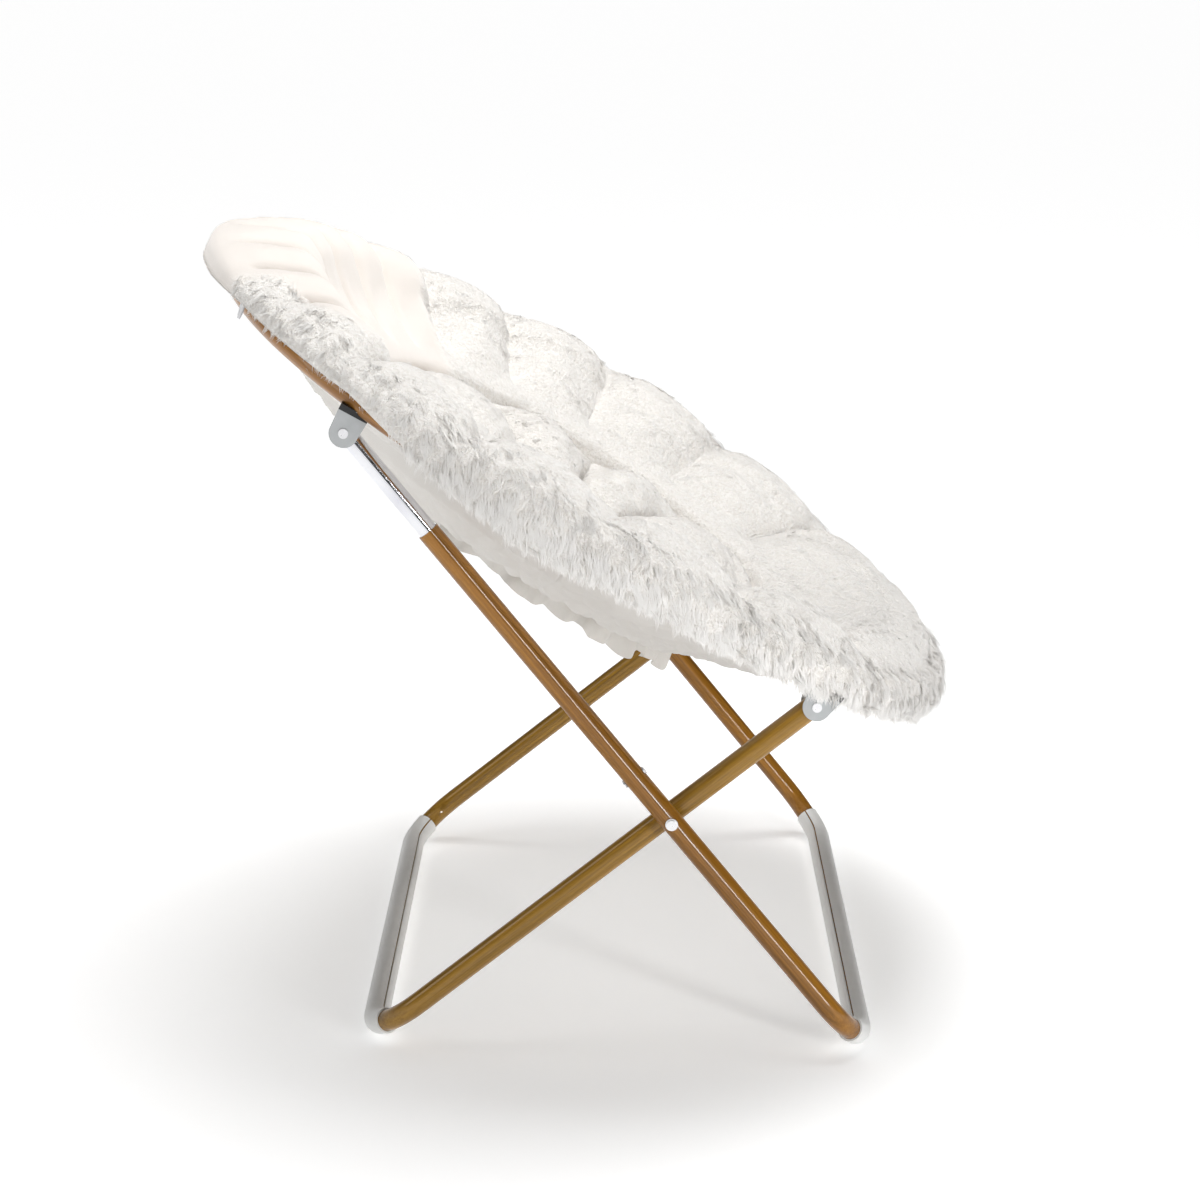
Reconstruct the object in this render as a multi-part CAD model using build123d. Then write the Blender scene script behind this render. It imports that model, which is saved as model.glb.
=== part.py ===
from build123d import *
from math import atan2, ceil, cos, degrees, hypot, pi, radians, sin, sqrt, tan
import os

# Folding saucer chair. Millimetres, +Z up, +X to the front of the chair, +Y to the sitter's left.
# The origin is on the floor, under the middle of the chair's bounding box.
# The legs lie in planes parallel to XZ, and the chair is mirrored about the XZ plane.

# Driving dimensions -------------------------------------------------------------------------

# Steel tube of the legs and of the seat ring
tube_radius = 11.0
tube_wall = 1.2

# Two U-shaped leg frames, crossed like scissors
rail_mid_x = 40.9            # middle between the two floor rails, forward of the origin
rail_half_spacing = 246.8
outer_leg_angle = 128.8      # direction of the outer legs, from +X towards +Z
inner_leg_angle = 38.6
inner_leg_reach = 565.5      # floor rail to front bracket pivot, along the leg
outer_leg_offset = 349.8     # leg centre line to the XZ plane
leg_gap = 2.4                # between an outer leg and the inner leg beside it
corner_radius = 62.0         # bend between a leg and its floor rail

# Split plastic sleeves on the floor rails
sleeve_wall = 2.0
sleeve_corner_turn = 45.0    # degrees of each corner bend that the sleeve covers
sleeve_slit = 1.6
sleeve_slit_lean = 15.0      # turn of the slit round the rail, from the legs' side upwards
sleeve_tail = 0.5            # straight run at each end
floor_flat = 0.5             # depth of the flat that the sleeve stands on

# Chrome tubes that telescope in the outer legs
extension_radius = 9.5
extension_wall = 1.2
extension_show = 124.0       # back bracket pivot to the mouth of the outer leg
guide_length = 12.0
stop_offset = 58.0           # stop rivet above the cross pivot, along the outer leg
stop_pin_radius = 2.5
stop_head_radius = 4.0
stop_head_height = 1.4

# Seat ring of two half circles, joined with a slight upward kink
ring_radius = 430.7
ring_kink = 5.0              # how much steeper the front half is than the back half
ring_joint_gap = 0.2
connector_span = 5.0         # degrees of ring on each side of the joint
connector_wall = 1.4
joint_rivet_span = 2.8       # degrees from the joint to its rivet
joint_rivet_radius = 2.0
joint_rivet_head = 3.6

# Steel brackets under the ring, with their plastic saddles
back_bracket_drop = 31.3     # ring centre line to bracket pivot
front_bracket_drop = 29.0
back_bracket_width = 30.0
front_bracket_width = 33.0
bracket_end_radius = 14.0
bracket_plate = 1.6
bracket_side_gap = 0.4       # between a cheek and the tube inside it
saddle_floor = 1.5
saddle_height = 6.0
screw_radius = 1.9
screw_head_radius = 3.4
screw_head_height = 1.5
screw_pitch = 15.0

# Pivots and end plugs
pivot_radius = 3.0
pivot_head_radius = 4.8
pivot_head_height = 1.6
tube_end_past_pivot = 7.0
cross_washer_radius = 6.2
cross_washer_thickness = 1.2
cross_spacer_radius = 8.0
plug_flange = 1.4
plug_inset = 1.4             # how much smaller than its tube a plug's flange is, in radius
plug_spigot = 3.0

# Soft seat. Radii are from the middle of the ring, heights from the ring's centre line.
section_step = 7.5           # longest turn between two soft sections, in degrees
rim_outer = 16.0             # how far the padded rim stands out past the ring's centre line
rim_lip_edge = 1.5           # thickness of its outer lip
rim_crest_radius = 385.0
rim_crest_height = 36.0
rim_seams = (42, 67, 90, 111, 131, 146, 157, 168, 180)  # turns of its seams, alike on both sides
rim_seam_depth = 14.0        # how far the seams draw the rim in; it halves towards the back
back_swell_out = 22.0        # the back of the rim, behind the head, is fuller
back_swell_up = 22.0
rim_inner_radius = 240.0
rim_inner_height = -32.0
pillow_seams = (0, 48, 84, 124, 180)  # turns of the seams between the bowl's eight pillows
pillow_inner_radius = 90.0
pillow_crown_radius = 160.0
pillow_crease_height = -62.0
pillow_rise = 24.0
cushion_middle_height = -52.0
lining_thickness = 3.0
lining_outer_radius = 366.0
hem_radius = 178.0
hem_back_drop = 6.0
hem_front_drop = 28.0
hem_thickness = 2.6
hem_wave = 7.0
hem_waves = 12
label_turn = 210.0           # degrees round the ring from the front
label_width = 15.0
label_length = 22.0
label_thickness = 0.8

# Outer lip of the rim: turn from the front, alike on both sides, and how far the lip hangs there
lip_drops = [
    (0, 10), (60, 8), (78, 9), (86, 13), (92, 22), (97, 24), (103, 13), (110, 6), (120, 4), (128, 1),
    (180, 0),
]

# Underside of the seat: radius and height
underside = [
    (0, -134), (100, -128), (160, -116), (200, -106), (240, -92), (290, -72), (331, -50), (371, -33),
]

# Clearances
fit = 0.1                    # between pieces that are fixed together
running = 0.05               # between a pivot and what turns on it, in radius
soft_gap = 0.3               # round soft pieces

# Derived places in the side view (x, z) ------------------------------------------------------

inner_leg_offset = outer_leg_offset - 2 * tube_radius - leg_gap
sleeve_radius = tube_radius + fit + sleeve_wall
rail_height = sleeve_radius - floor_flat
SIDES = {"left": 1, "right": -1}


def turned(angle, length=1.0):
    """Side-view vector of a length at an angle from +X towards +Z."""
    return (length * cos(radians(angle)), length * sin(radians(angle)))


def moved(point, *steps):
    """Side-view point moved by some vectors."""
    return (point[0] + sum(s[0] for s in steps), point[1] + sum(s[1] for s in steps))


def crossing(foot_a, angle_a, foot_b, angle_b):
    """Where two side-view lines cross."""
    ax, az = turned(angle_a)
    bx, bz = turned(angle_b)
    dx, dz = foot_b[0] - foot_a[0], foot_b[1] - foot_a[1]
    along = (dx * bz - dz * bx) / (ax * bz - az * bx)
    return moved(foot_a, turned(angle_a, along))


outer_foot = (rail_mid_x + rail_half_spacing, rail_height)
inner_foot = (rail_mid_x - rail_half_spacing, rail_height)
cross_pivot = crossing(outer_foot, outer_leg_angle, inner_foot, inner_leg_angle)
front_pivot = moved(inner_foot, turned(inner_leg_angle, inner_leg_reach))

# The ring spans from the back pivots to the front pivots. In the back half's own directions
# (along the slope, and square to the ring) that span follows from the ring's shape.
front_reach = sqrt(ring_radius**2 - inner_leg_offset**2)
back_reach = sqrt(ring_radius**2 - outer_leg_offset**2)
kink = radians(ring_kink)
span_along = front_reach * cos(kink) - front_bracket_drop * sin(kink) + back_reach
span_square = back_bracket_drop - front_reach * sin(kink) - front_bracket_drop * cos(kink)
pivot_span = hypot(span_along, span_square)

# The back pivot lies on the outer leg's line, one such span away from the front pivot.
crank = hypot(front_pivot[0] - cross_pivot[0], front_pivot[1] - cross_pivot[1])
crank_turn = radians(inner_leg_angle - outer_leg_angle)
back_pivot_distance = crank * cos(crank_turn) + sqrt(pivot_span**2 - (crank * sin(crank_turn)) ** 2)
back_pivot = moved(cross_pivot, turned(outer_leg_angle, back_pivot_distance))
span_angle = degrees(atan2(front_pivot[1] - back_pivot[1], front_pivot[0] - back_pivot[0]))
back_slope = span_angle - degrees(atan2(span_square, span_along))
slopes = {
    "back": back_slope,
    "mean": back_slope - ring_kink / 2,
    "front": back_slope - ring_kink,
}
ring_middle = moved(
    back_pivot, turned(back_slope, back_reach), turned(back_slope + 90, back_bracket_drop)
)

# Sizes of the pivots' surroundings, for the back and the front brackets
reaches = {"back": -back_reach, "front": front_reach}
offsets = {"back": outer_leg_offset, "front": inner_leg_offset}
drops = {"back": back_bracket_drop, "front": front_bracket_drop}
widths = {"back": back_bracket_width, "front": front_bracket_width}
half_gaps = {
    "back": extension_radius + bracket_side_gap,
    "front": tube_radius + bracket_side_gap,
}


# Frames and simple solids --------------------------------------------------------------------


def ring_plane(half):
    """Frame in the middle of the ring: x down the slope to the front, z square to the ring."""
    down_x, down_z = turned(slopes[half])
    up_x, up_z = turned(slopes[half] + 90)
    return Plane(
        origin=(ring_middle[0], 0, ring_middle[1]),
        x_dir=(down_x, 0, down_z),
        z_dir=(up_x, 0, up_z),
    )


def leg_plane(point, angle, offset):
    """Frame on a leg: z up along the leg, y along +Y."""
    along_x, along_z = turned(angle)
    across_x, across_z = turned(angle - 90)
    return Plane(
        origin=(point[0], offset, point[1]),
        x_dir=(across_x, 0, across_z),
        z_dir=(along_x, 0, along_z),
    )


def across(point, offset=0.0):
    """Frame at a side-view point with z along +Y, for pins and washers."""
    return Plane(origin=(point[0], offset, point[1]), x_dir=(1, 0, 0), z_dir=(0, 1, 0))


def rod(place, radius, low, high):
    """Cylinder along a frame's z between two heights."""
    body = Cylinder(radius, high - low, align=(Align.CENTER, Align.CENTER, Align.MIN))
    return place * Pos(0, 0, low) * body


def drill(radius, length):
    """Cylinder that is long enough to cut right through."""
    return Cylinder(radius, 2 * length)


def pipe(place, radius, wall, low, high):
    """Straight tube along a frame's z."""
    return rod(place, radius, low, high) - rod(place, radius - wall, low - 1, high + 1)


def headed_pin(place, radius, low, high, head_radius, head_height):
    """Pin with a flat round head outside each end."""
    pin = rod(place, radius, low - head_height, high + head_height)
    pin += rod(place, head_radius, low - head_height, low)
    return pin + rod(place, head_radius, high, high + head_height)


def save(name, *shapes):
    """Write a node: one solid, or a group of separate solids."""
    solids = [solid for shape in shapes for solid in shape.solids()]
    node = solids[0] if len(solids) == 1 else Compound(children=solids)
    node.label = name
    export_step(node, f"parts/{name}.step")
    print(f"{name}: {len(solids)} solid(s), valid {all(s.is_valid for s in solids)}")


# Leg frames ----------------------------------------------------------------------------------


def swept_tube(path, radius, wall):
    """Hollow tube along a path of straight runs and arcs."""
    start = Plane(origin=path @ 0, z_dir=path % 0)
    return sweep(start * (Circle(radius) - Circle(radius - wall)), path)


def u_frame(foot, angle, offset, reach):
    """Tube down one leg, across the floor rail and up the other leg."""
    top = moved(foot, turned(angle, reach))
    path = FilletPolyline(
        (top[0], offset, top[1]),
        (foot[0], offset, foot[1]),
        (foot[0], -offset, foot[1]),
        (top[0], -offset, top[1]),
        radius=corner_radius,
    )
    return swept_tube(path, tube_radius, tube_wall)


def outer_leg_frame():
    """Outer U frame, with the open mouths that the chrome tubes slide in."""
    length = hypot(back_pivot[0] - outer_foot[0], back_pivot[1] - outer_foot[1])
    frame = u_frame(outer_foot, outer_leg_angle, outer_leg_offset, length - extension_show)
    for side in SIDES.values():
        cross_place = across(cross_pivot, side * outer_leg_offset)
        frame -= cross_place * drill(pivot_radius + fit, tube_radius)
        frame -= stop_place(side) * drill(stop_pin_radius + fit, tube_radius)
    return frame


def inner_leg_frame():
    """Inner U frame, up to just past the front bracket pivots."""
    reach = inner_leg_reach + tube_end_past_pivot
    frame = u_frame(inner_foot, inner_leg_angle, inner_leg_offset, reach)
    for side in SIDES.values():
        for pivot in (cross_pivot, front_pivot):
            place = across(pivot, side * inner_leg_offset)
            frame -= place * drill(pivot_radius + running, tube_radius)
    return frame


def sleeve_path(foot, angle, offset):
    """Centre line of a floor rail with the first part of the bend at each end."""
    turn = radians(sleeve_corner_turn)
    reach = corner_radius * tan(turn / 2)
    corner = offset - corner_radius + reach
    tail = reach + sleeve_tail
    end = moved(foot, turned(angle, tail * sin(turn)))
    end_offset = corner + tail * cos(turn)
    return FilletPolyline(
        (end[0], end_offset, end[1]),
        (foot[0], corner, foot[1]),
        (foot[0], -corner, foot[1]),
        (end[0], -end_offset, end[1]),
        radius=corner_radius,
    )


def floor_sleeve(foot, angle, offset, lean):
    """Split plastic sleeve round a floor rail, flat where it stands."""
    path = sleeve_path(foot, angle, offset)
    square_x, square_z = turned(angle + 90)
    start = Plane(origin=path @ 0, x_dir=(square_x, 0, square_z), z_dir=path % 0)
    ring = Circle(sleeve_radius) - Circle(tube_radius + fit)
    slit = Rot(0, 0, lean - 90) * Pos(sleeve_radius, 0) * Rectangle(2 * sleeve_radius, sleeve_slit)
    sleeve = sweep(start * (ring - slit), path)
    below = Box(4 * offset, 4 * offset, offset, align=(Align.CENTER, Align.CENTER, Align.MAX))
    return sleeve - below


# Telescoping chrome tubes --------------------------------------------------------------------

guide_face = stop_offset + stop_pin_radius + soft_gap
extension_foot = guide_face + plug_flange


def stop_place(side):
    """Frame of a stop rivet: z square to the outer leg, in the side view."""
    point = moved(cross_pivot, turned(outer_leg_angle, stop_offset))
    front_x, front_z = turned(outer_leg_angle - 90)
    return Plane(
        origin=(point[0], side * outer_leg_offset, point[1]),
        x_dir=(0, 1, 0),
        z_dir=(front_x, 0, front_z),
    )


def stop_rivet(side):
    """Rivet that carries the foot of a chrome tube."""
    return headed_pin(
        stop_place(side), stop_pin_radius, -tube_radius, tube_radius,
        stop_head_radius, stop_head_height,
    )


def leg_extension(side):
    """Chrome tube from its guide plug up to the back bracket."""
    place = leg_plane(cross_pivot, outer_leg_angle, side * outer_leg_offset)
    top = back_pivot_distance + tube_end_past_pivot
    tube = pipe(place, extension_radius, extension_wall, extension_foot, top)
    pivot_place = across(back_pivot, side * outer_leg_offset)
    return tube - pivot_place * drill(pivot_radius + running, tube_radius)


def extension_guide(side):
    """Nylon plug in the foot of a chrome tube, which centres it in the outer leg."""
    place = leg_plane(cross_pivot, outer_leg_angle, side * outer_leg_offset)
    flange = rod(place, tube_radius - tube_wall - fit, guide_face, extension_foot)
    spigot_radius = extension_radius - extension_wall - fit
    return flange + rod(place, spigot_radius, guide_face, extension_foot + guide_length)


def end_cap(foot, angle, offset, end, radius, wall):
    """Plastic plug in the top of a leg tube."""
    place = leg_plane(foot, angle, offset)
    flange = rod(place, radius - plug_inset, end, end + plug_flange)
    return flange + rod(place, radius - wall - fit, end - plug_spigot, end + plug_flange)


# Pivots --------------------------------------------------------------------------------------


def cross_rivet(side):
    """Rivet through an outer and an inner leg."""
    inside = side * (inner_leg_offset - tube_radius)
    outside = side * (outer_leg_offset + tube_radius + cross_washer_thickness)
    low, high = sorted((inside, outside))
    return headed_pin(
        across(cross_pivot), pivot_radius, low, high, pivot_head_radius, pivot_head_height
    )


def cross_washer(side):
    """Washer under the outer head of a cross rivet."""
    inner_face = side * (outer_leg_offset + tube_radius)
    low, high = sorted((inner_face, inner_face + side * cross_washer_thickness))
    return pipe(across(cross_pivot), cross_washer_radius,
                cross_washer_radius - pivot_radius - fit, low, high)


def cross_spacer(side):
    """Spacer between an outer and an inner leg."""
    inner_face = side * (inner_leg_offset + tube_radius + fit)
    outer_face = side * (outer_leg_offset - tube_radius - fit)
    low, high = sorted((inner_face, outer_face))
    return pipe(across(cross_pivot), cross_spacer_radius,
                cross_spacer_radius - pivot_radius - running, low, high)


def front_pivot_rivet(side):
    """Rivet through a front bracket and the top of an inner leg."""
    half_width = half_gaps["front"] + bracket_plate
    place = across(front_pivot, side * inner_leg_offset)
    return headed_pin(
        place, pivot_radius, -half_width, half_width, pivot_head_radius, pivot_head_height
    )


def back_pivot_rivet(side, face):
    """Short rivet in one cheek of a back bracket, level with the cheek's inner face."""
    place = across(back_pivot, side * outer_leg_offset)
    cheek_inside = half_gaps["back"]
    cheek_outside = cheek_inside + bracket_plate
    head_outside = cheek_outside + pivot_head_height
    low, high = sorted((face * cheek_inside, face * head_outside))
    head_low, head_high = sorted((face * cheek_outside, face * head_outside))
    return rod(place, pivot_radius, low, high) + rod(place, pivot_head_radius, head_low, head_high)


# Seat ring -----------------------------------------------------------------------------------


def half_space(half, gap):
    """Everything on one half's own side of the plane between the ring halves."""
    size = 4 * ring_radius
    side, shift = (Align.MAX, -gap / 2) if half == "back" else (Align.MIN, gap / 2)
    block = Box(size, size, size, align=(side, Align.CENTER, Align.CENTER))
    return ring_plane("mean") * Pos(shift, 0, 0) * block


def ring_tube(half, radius, wall, start, turn):
    """Tube along part of a half ring, from a start angle, both counted from the front."""
    path = ring_plane(half) * CenterArc((0, 0, 0), ring_radius, start, turn)
    return swept_tube(path, radius, wall)


def on_ring(half, turn, height=0.0):
    """Place on the ring's centre line, or at a height square to it."""
    point = (ring_radius * cos(turn), ring_radius * sin(turn), height)
    return ring_plane(half).location * Pos(*point)


def joint_rivet_places(half):
    """Places of a half ring's two joint rivets."""
    from_front = 90 + joint_rivet_span if half == "back" else 90 - joint_rivet_span
    return [on_ring(half, radians(side * from_front)) for side in SIDES.values()]


def rivet_hole(place):
    """Hole of a joint rivet, through the lower wall only."""
    return rod(place, joint_rivet_radius + fit, -2 * tube_radius, 0)


def ring_half(half):
    """Half circle of tube, drilled for its brackets' screws and its joint rivets."""
    start = 90 - 3 if half == "back" else -90 - 3
    tube = ring_tube(half, tube_radius, tube_wall, start, 180 + 2 * 3)
    tube &= half_space(half, ring_joint_gap)
    for place in joint_rivet_places(half):
        tube -= rivet_hole(place)
    for side in SIDES.values():
        for place in screw_places(half, side):
            tube -= rod(place, screw_radius + fit, -tube_radius, tube_radius)
    return tube


def ring_connector(side):
    """Bent sleeve inside a joint of the ring, half of it in each half ring."""
    radius = tube_radius - tube_wall - fit
    joint = side * 90
    sleeve = None
    for half in ("back", "front"):
        tube = ring_tube(half, radius, connector_wall, joint - connector_span, 2 * connector_span)
        tube &= half_space(half, 0)
        sleeve = tube if sleeve is None else sleeve + tube
    for half in ("back", "front"):
        for place in joint_rivet_places(half):
            sleeve -= rivet_hole(place)
    return sleeve


def joint_rivet(place):
    """Rivet with a round head under the ring and a short shank into the connector."""
    head_low = -tube_radius - stop_head_height
    inside = -tube_radius + tube_wall + connector_wall
    shank = rod(place, joint_rivet_radius, head_low, inside)
    return shank + rod(place, joint_rivet_head, head_low, -tube_radius)


# Brackets ------------------------------------------------------------------------------------


def bracket_plane(half, side):
    """Frame on a bracket pivot: x down the slope, z square to the ring."""
    plane = ring_plane(half)
    point = (reaches[half], side * offsets[half], -drops[half])
    return Plane(origin=plane.from_local_coords(point), x_dir=plane.x_dir, z_dir=plane.z_dir)


def web_top(half):
    """Height of a bracket's web above its pivot."""
    return drops[half] - tube_radius - saddle_floor


def cheek_outline(half):
    """Side view of a bracket: straight top edge and sides that taper to a round lower end."""
    half_width = widths[half] / 2
    corners = [
        (-bracket_end_radius, 0), (-half_width, web_top(half)),
        (half_width, web_top(half)), (bracket_end_radius, 0),
    ]
    return make_face(Polyline(*corners, close=True)) + Circle(bracket_end_radius)


def bracket(half, side):
    """Folded steel bracket: two cheeks, and the web that the screws hold to the ring."""
    place = bracket_plane(half, side)
    half_width = half_gaps[half] + bracket_plate
    side_view = Plane(origin=place.origin, x_dir=place.x_dir, z_dir=-place.y_dir)
    body = extrude(side_view * cheek_outline(half), half_width, both=True)
    room = 3 * bracket_end_radius
    inside = Box(2 * room, 2 * half_gaps[half], room, align=(Align.CENTER, Align.CENTER, Align.MAX))
    body -= place * Pos(0, 0, web_top(half) - bracket_plate) * inside
    for hole in screw_places(half, side):
        body -= hole * drill(screw_radius + fit, tube_radius)
    return body - place * Rot(90, 0, 0) * drill(pivot_radius + running, 2 * tube_radius)


def screw_places(half, side):
    """Places of a bracket's two screws, on the ring's lowest line and square to the ring."""
    middle = atan2(side * offsets[half], reaches[half])
    step = screw_pitch / 2 / ring_radius
    return [on_ring(half, turn, -tube_radius) for turn in (middle - step, middle + step)]


def saddle(half, side):
    """Plastic saddle between a bracket's web and the round tube of the ring."""
    block = Box(
        widths[half], 2 * (half_gaps[half] + bracket_plate), saddle_height,
        align=(Align.CENTER, Align.CENTER, Align.MIN),
    )
    block = bracket_plane(half, side) * Pos(0, 0, web_top(half)) * block
    block -= ring_plane(half) * Torus(ring_radius, tube_radius)
    for hole in screw_places(half, side):
        block -= hole * drill(screw_radius + fit, tube_radius)
    return block


def bracket_screw(place):
    """Screw from inside a bracket, through web and saddle, into the ring's wall."""
    head_top = -saddle_floor - bracket_plate
    head_low = head_top - screw_head_height
    shank = rod(place, screw_radius, head_low, 2 * tube_wall)
    return shank + rod(place, screw_head_radius, head_low, head_top)


# Soft seat -----------------------------------------------------------------------------------


def seat_point(turn, radius, height):
    """Point of the seat, for a turn in degrees from the front, a radius and a height.

    Near the ring the seat follows the ring's own half; the bowl follows the mean slope.
    """
    across_x = radius * cos(radians(turn))
    local = (across_x, radius * sin(radians(turn)), height)
    bowl_point = ring_plane("mean").from_local_coords(local)
    if abs(across_x) < 1e-6:
        return bowl_point
    ring_point = ring_plane("front" if across_x > 0 else "back").from_local_coords(local)
    share = (radius - rim_inner_radius) / (ring_radius - 2 * tube_radius - rim_inner_radius)
    return bowl_point + (ring_point - bowl_point) * min(1.0, max(0.0, share))


def both_sides(seams):
    """Turns of seams that are alike on both sides, over two laps from -180 degrees."""
    return sorted({side * seam + lap for seam in seams for side in (1, -1) for lap in (0, 360)})


def half_turns(start):
    """Turns of one half's sections, which fall on the rim's seams and evenly between them."""
    stops = [seam for seam in both_sides(rim_seams) if start <= seam <= start + 180]
    turns = [start]
    for low, high in zip(stops, stops[1:]):
        steps = ceil((high - low) / section_step)
        turns += [low + (high - low) * step / steps for step in range(1, steps + 1)]
    return turns


def puffed(turn, seams):
    """0 on a seam and up to 1 between two."""
    stops = both_sides(seams)
    for low, high in zip(stops, stops[1:]):
        if low <= turn <= high:
            return abs(sin(pi * (turn - low) / (high - low))) ** 0.6
    raise ValueError("turn outside the two laps")


def soft_ring(outline_at):
    """Ring-shaped soft solid, lofted through upright sections all the way round."""
    halves = []
    for start in (-90, 90):
        sections = []
        for turn in half_turns(start):
            corners = [seat_point(turn, *corner) for corner in outline_at(turn)]
            sections.append(Wire.make_polygon(corners, close=True))
        halves.append(Solid.make_loft(sections, ruled=True))
    return halves[0] + halves[1]


def soft_middle(outline):
    """Middle of the bowl, turned about the bowl's axis from an outline of radius and height."""
    plane = ring_plane("mean")
    upright = Plane(origin=plane.origin, x_dir=plane.x_dir, z_dir=-plane.y_dir)
    return revolve(upright * make_face(Polyline(*outline, close=True)), Axis(plane.origin, plane.z_dir))


def read_off(pairs, place):
    """Value at a place, on straight lines through pairs of place and value."""
    for (low, low_value), (high, high_value) in zip(pairs, pairs[1:]):
        if low <= place <= high:
            return low_value + (high_value - low_value) * (place - low) / (high - low)
    raise ValueError("place past the pairs")


def under(radius):
    """Height of the seat's underside at a radius."""
    return read_off(underside, radius)


def under_points(low, high, drop=0.0):
    """Underside points from one radius out to another, lowered by a drop."""
    inner = [radius for radius, _ in underside if low < radius < high]
    return [(radius, under(radius) - drop) for radius in [low, *inner, high]]


def wave(turn, count):
    """0 to 1, with a number of rounded bumps all the way round."""
    return abs(sin(pi * turn * count / 360))


def rim_outline(turn):
    """Section of the padded rim, which wraps over the ring and rises inwards to a crest."""
    front_share = (1 + cos(radians(turn))) / 2
    swell = (1 - front_share) ** 6
    dip = rim_seam_depth * (1 - puffed(turn, rim_seams)) * (1 - swell / 2)
    crest = rim_crest_height + back_swell_up * swell - dip
    outer = ring_radius + rim_outer + back_swell_out * swell
    lip = read_off(lip_drops, min(abs(turn), 360 - abs(turn)))
    channel = tube_radius + soft_gap + ring_radius * (1 - cos(radians(section_step / 2)))
    corner = channel * tan(pi / 8)
    return [
        (outer - 1, -lip),
        (outer, 0.15 * crest),
        (outer - 5, 0.5 * crest),
        (ring_radius - 4, 0.8 * crest),
        (ring_radius - 22, 0.93 * crest),
        (rim_crest_radius, crest),
        (rim_crest_radius - 35 + 0.4 * dip, 0.6 * crest),
        (rim_crest_radius - 75 + 0.5 * dip, 0.02 * crest - 0.6 * dip),
        (rim_crest_radius - 110 + 0.3 * dip, 0.55 * rim_inner_height - 0.4 * dip),
        (rim_inner_radius, rim_inner_height),
        *under_points(rim_inner_radius, underside[-1][0]),
        (ring_radius - channel, -corner),
        (ring_radius - channel, corner),
        (ring_radius - corner, channel),
        (ring_radius + corner, channel),
        (ring_radius + channel, corner),
        (ring_radius + channel, -corner),
        (outer - 1 - rim_lip_edge, -lip),
    ]


def rim_roll():
    """Padded rim, with a pocket for each bracket and its saddle."""
    roll = soft_ring(rim_outline)
    for half in ("back", "front"):
        for side in SIDES.values():
            pocket = Box(
                widths[half] + 2, 2 * (half_gaps[half] + bracket_plate) + 2, 3 * tube_radius,
                align=(Align.CENTER, Align.CENTER, Align.MAX),
            )
            top = web_top(half) + saddle_height + soft_gap
            roll -= bracket_plane(half, side) * Pos(0, 0, top) * pocket
    return roll


cushion_edge = rim_inner_radius - soft_gap


def cushion_outline(turn):
    """Section of the bowl's ring of pillows."""
    rise = pillow_rise * puffed(turn, pillow_seams)
    crown = pillow_crease_height + rise
    return [
        *under_points(pillow_inner_radius, cushion_edge),
        (cushion_edge, rim_inner_height - 6),
        (pillow_crown_radius + 42, crown + 8),
        (pillow_crown_radius, crown),
        (pillow_crown_radius - 42, crown - 5),
        (pillow_inner_radius, pillow_crease_height - 6),
    ]


def seat_cushion():
    """Tufted bowl: a ring of pillows round one in the middle."""
    middle = [
        *under_points(0, pillow_inner_radius),
        (pillow_inner_radius, pillow_crease_height - 6),
        (0.6 * pillow_inner_radius, cushion_middle_height - 3),
        (0, cushion_middle_height),
    ]
    return soft_ring(cushion_outline) + soft_middle(middle)


def lining_outline(low, high):
    """Section of the lining between two radii, just below the seat's underside."""
    upper = under_points(low, high, soft_gap)
    lower = under_points(low, high, soft_gap + lining_thickness)
    return upper + lower[::-1]


def seat_lining():
    """Thin lining under the rim and the bowl."""
    middle_radius = underside[1][0]
    outer_part = soft_ring(lambda turn: lining_outline(middle_radius, lining_outer_radius))
    return outer_part + soft_middle(lining_outline(0, middle_radius))


def hem_outline(turn):
    """Section of the hem, which hangs in waves from the lining."""
    top = under(hem_radius) - 2 * soft_gap - lining_thickness
    slope = (under(hem_radius + hem_thickness) - under(hem_radius)) / hem_thickness
    push = hem_wave * (wave(turn, hem_waves) - 0.5)
    front_share = (1 + cos(radians(turn))) / 2
    drop = hem_back_drop + (hem_front_drop - hem_back_drop) * front_share ** 2
    foot = top - drop - hem_wave * wave(turn, hem_waves) * front_share
    inner = hem_radius + push
    return [
        (hem_radius, top),
        (inner, foot),
        (inner + hem_thickness, foot),
        (hem_radius + hem_thickness, top + slope * hem_thickness),
    ]


def fabric_label():
    """Small blank label that hangs from the rim's outer lip."""
    outline = rim_outline(label_turn)
    lip_radius = (outline[0][0] + outline[-1][0]) / 2
    lip_height = (outline[0][1] + outline[-1][1]) / 2 - soft_gap - fit
    plane = ring_plane("back")
    point = seat_point(label_turn, lip_radius, lip_height)
    label = Box(label_thickness, label_width, label_length,
                align=(Align.CENTER, Align.CENTER, Align.MAX))
    place = Plane(origin=point, x_dir=plane.x_dir, z_dir=plane.z_dir)
    return place * Rot(0, 0, label_turn) * label


# Nodes ---------------------------------------------------------------------------------------


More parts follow.
